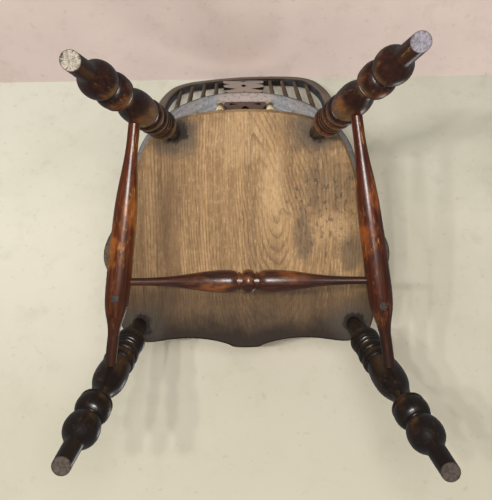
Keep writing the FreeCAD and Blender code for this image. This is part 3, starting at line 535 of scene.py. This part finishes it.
def bend_axes(g, origin, up):
    """(across the bend, through the piece, along the bend) for a hoop on two straight legs."""
    out = Vector((1, 0, 0))
    here = g.vector("SUBTRACT", g.place, origin)
    x = g.math("ABSOLUTE", g.vector("DOT_PRODUCT", here, out))
    y = g.vector("DOT_PRODUCT", here, up)
    deep = g.vector("DOT_PRODUCT", here, out.cross(up))
    above = g.math("MAXIMUM", y, 0.0)
    bend = g.math("MULTIPLY", g.math("ARCTAN2", above, x), BEND_RADIUS)
    along = g.math("ADD", g.math("MINIMUM", y, 0.0), bend)
    return g.joined(g.vector("LENGTH", g.joined(x, above)), deep, along)


def bent_wood(name, origin, up, stain, weather_and_shade):
    """Stain is (deep, mid, rubbed). The weather function changes a bare face's colour and roughness, or
    paints light and shade on it.
    """
    g = Finish(name)
    where = bend_axes(g, origin, up)
    ring, fibre = grain(g, where, spacing=0.0038, pith=(0.3, 0.05, 0.0), wander=0.001)
    streak = g.noise(g.scaled(where, 300, 300, 9), 1.0, 4.0, 0.6)
    large = g.noise(where, 17.0, 4.0, 0.6)
    deep, mid, rubbed = stain
    colour = g.layers(deep, (g.fade(streak, 0.3, 0.7), mid), (g.fade(ring, 0.6, 0.98, 0.5), deep),
                      (g.fade(large, 0.5, 0.72, 0.6), rubbed))
    rough = g.span(large, 0.3, 0.7, 0.28, 0.42)
    colour, rough = weather_and_shade(g, where, streak, large, colour, rough)
    height = g.math("ADD", g.math("MULTIPLY", fibre, 0.5), g.math("MULTIPLY", streak, 0.4))
    return polish(g, colour, rough, height, relief=0.3, coat=0.15, shine=0.5)


def bare_underside(g, where, streak, large, colour, rough):
    mottle = g.noise(where, 150.0, 4.0, 0.75)
    x, y, z = g.axes(g.place)
    low = g.fade(z, *BARE_BELOW)
    heart = g.fade(g.math("ABSOLUTE", x), *PINK_HEART)
    handled = g.mix(g.fade(mottle, 0.4, 0.6), "4a3a30", "66564a")
    grey = g.layers("82868b", (g.fade(streak, 0.35, 0.7), "63666b"),
                    (g.fade(large, 0.40, 0.66, 0.7), "736a67"),
                    (g.math("MULTIPLY", heart, g.span(large, 0.3, 0.6, 0.5, 0.9)), "a08b80"),
                    (g.fade(mottle, 0.58, 0.70, 0.55), "bdb9b4"),
                    (g.fade(mottle, 0.47, 0.34, 0.70), "473d3a"),
                    (g.fade(y, *HANDLED_FRONT), handled))
    return g.mix(low, colour, grey), g.math("MAXIMUM", rough, g.math("MULTIPLY", low, 0.6))


dress("arm_bow", bent_wood("arm_bow", ARM_HEART, Vector((0, 1, 0)),
                           ("1d1411", "41291c", "5a3a24"), bare_underside))


# The hoop: ash, steamed, bent and leaned back, its edges rounded with a shave. Its ends go
# through the arm bow, and its inner side holds the sticks. The inner side is painted dark as
# shade, with bluish-grey stains in it, and the rear face is painted lighter, as light thrown
# back from the wall.
HOOP_FOOT = at(0, 206, 675)
HOOP_LEAN = math.radians(22.4)
HOOP_HEART_RISE = 0.19
hoop_up = Vector((0, math.sin(HOOP_LEAN), math.cos(HOOP_LEAN)))
hoop_rear = Vector((0, math.cos(HOOP_LEAN), -math.sin(HOOP_LEAN)))
hoop_heart = HOOP_FOOT + hoop_up * HOOP_HEART_RISE


def hoop_light_shade_and_stain(g, where, streak, large, colour, rough):
    here = g.vector("SUBTRACT", g.place, hoop_heart)
    rise = g.math("MAXIMUM", g.vector("DOT_PRODUCT", here, hoop_up), 0.0)
    risen = g.vector("MULTIPLY", g.joined(rise, rise, rise), hoop_up)
    outward = g.vector("NORMALIZE", g.vector("ADD", g.scaled(here, 1, 0, 0), risen))
    # Painted light and shade: the rear face lighter, as light thrown back from the wall, and the inner
    # face dark, as shade, with bluish-grey stains in it.
    stain = g.mix(g.fade(large, 0.45, 0.62), "1c130f", "343236")
    rear_face = g.fade(g.facing(hoop_rear), 0.45, 0.80, 0.35)
    inner_face = g.fade(g.facing(outward), -0.40, -0.75)
    return g.layers(colour, (rear_face, "94806f"), (inner_face, stain)), rough


dress("back_bow", bent_wood("back_bow", hoop_heart, hoop_up, ("2b211b", "544236", "7d6858"), hoop_light_shade_and_stain))


# The sticks: thin turned ash, dull brown where no hand rubs it, glued in at both ends. The two
# short sticks next to the lower splat have bare pale necks, crossed by a dark band of painted
# shade from their joint's hole.
NECK_FROM = (0.50, 0.55)
HOLE_SHADE_HEIGHT = 0.608
HOLE_SHADE_HALF = (0.026, 0.014)


def slim_wood(name, stain, seed, weather_and_shade=None):
    """Stain is (deep, mid, rubbed). The weather function changes the colour of a bare place, or paints
    shade on it.
    """
    g = Finish(name)
    where = g.vector("ADD", g.place, (seed, 0, seed * 0.3))
    ring, fibre = grain(g, where, spacing=0.0035, pith=(0.03, 0.06, 0.0), wander=0.001)
    streak = g.noise(g.scaled(where, 330, 330, 8), 1.0, 4.0, 0.6)
    large = g.noise(where, 21.0, 4.0, 0.6)
    deep, mid, rubbed = stain
    colour = g.layers(deep, (g.fade(streak, 0.3, 0.7), mid), (g.fade(ring, 0.6, 0.98, 0.4), deep),
                      (g.fade(large, 0.48, 0.7, 0.6), rubbed))
    if weather_and_shade:
        colour = weather_and_shade(g, colour)
    height = g.math("ADD", g.math("MULTIPLY", fibre, 0.5), g.math("MULTIPLY", streak, 0.4))
    return polish(g, colour, g.span(large, 0.3, 0.7, 0.34, 0.5), height, relief=0.3, coat=0.0, shine=0.5)


def bare_neck(g, colour):
    level = g.axes(g.place)[2]
    from_hole_shade = g.math("ABSOLUTE", g.math("SUBTRACT", level, HOLE_SHADE_HEIGHT))
    # The pale neck is bare wood; the dark band across it is painted shade.
    return g.layers(colour, (g.fade(level, *NECK_FROM), "d2c094"),
                    (g.fade(from_hole_shade, *HOLE_SHADE_HALF, 0.9), "2a1c12"))


stick_stain = ("3a2a20", "66503c", "8a7058")
stick_looks = [slim_wood("stick_wood_%d" % k, stick_stain, 0.7 * k) for k in range(4)]
bared_look = slim_wood("bared_stick_wood", stick_stain, 5.1, bare_neck)
for side in ("left", "right"):
    for kind in ("short", "long"):
        for k in range(1, 5):
            look = stick_looks[(k + (side == "right")) % 4]
            if kind == "short" and k == 1:
                look = bared_look
            dress("%s_stick_%s_%d" % (kind, side, k), look)


# The splats: thin fretted boards in the middle of the back, with tenons in the seat, the arm bow
# and the hoop. Their sawn edges are painted near black, as the shade inside the fret holes, and
# their rear faces are dry: pale above the arm bow and dark below it.
PALE_ABOVE = (0.660, 0.665)


def rear_tone_and_edge_shade(g, colour):
    facing = g.facing(hoop_rear)
    dry = g.mix(g.fade(g.axes(g.place)[2], *PALE_ABOVE), "54382c", "bba596")
    # The sawn edges, which face neither front nor rear, are painted near black as shade in the fret holes.
    return g.layers(colour, (g.fade(g.math("ABSOLUTE", facing), 0.75, 0.45), "170f0b"),
                    (g.fade(facing, 0.5, 0.8, 0.75), dry))


splat_look = slim_wood("splat_wood", ("46352b", "715a49", "957b66"), 3.3, rear_tone_and_edge_shade)
dress("upper_splat", splat_look)
dress("lower_splat", splat_look)
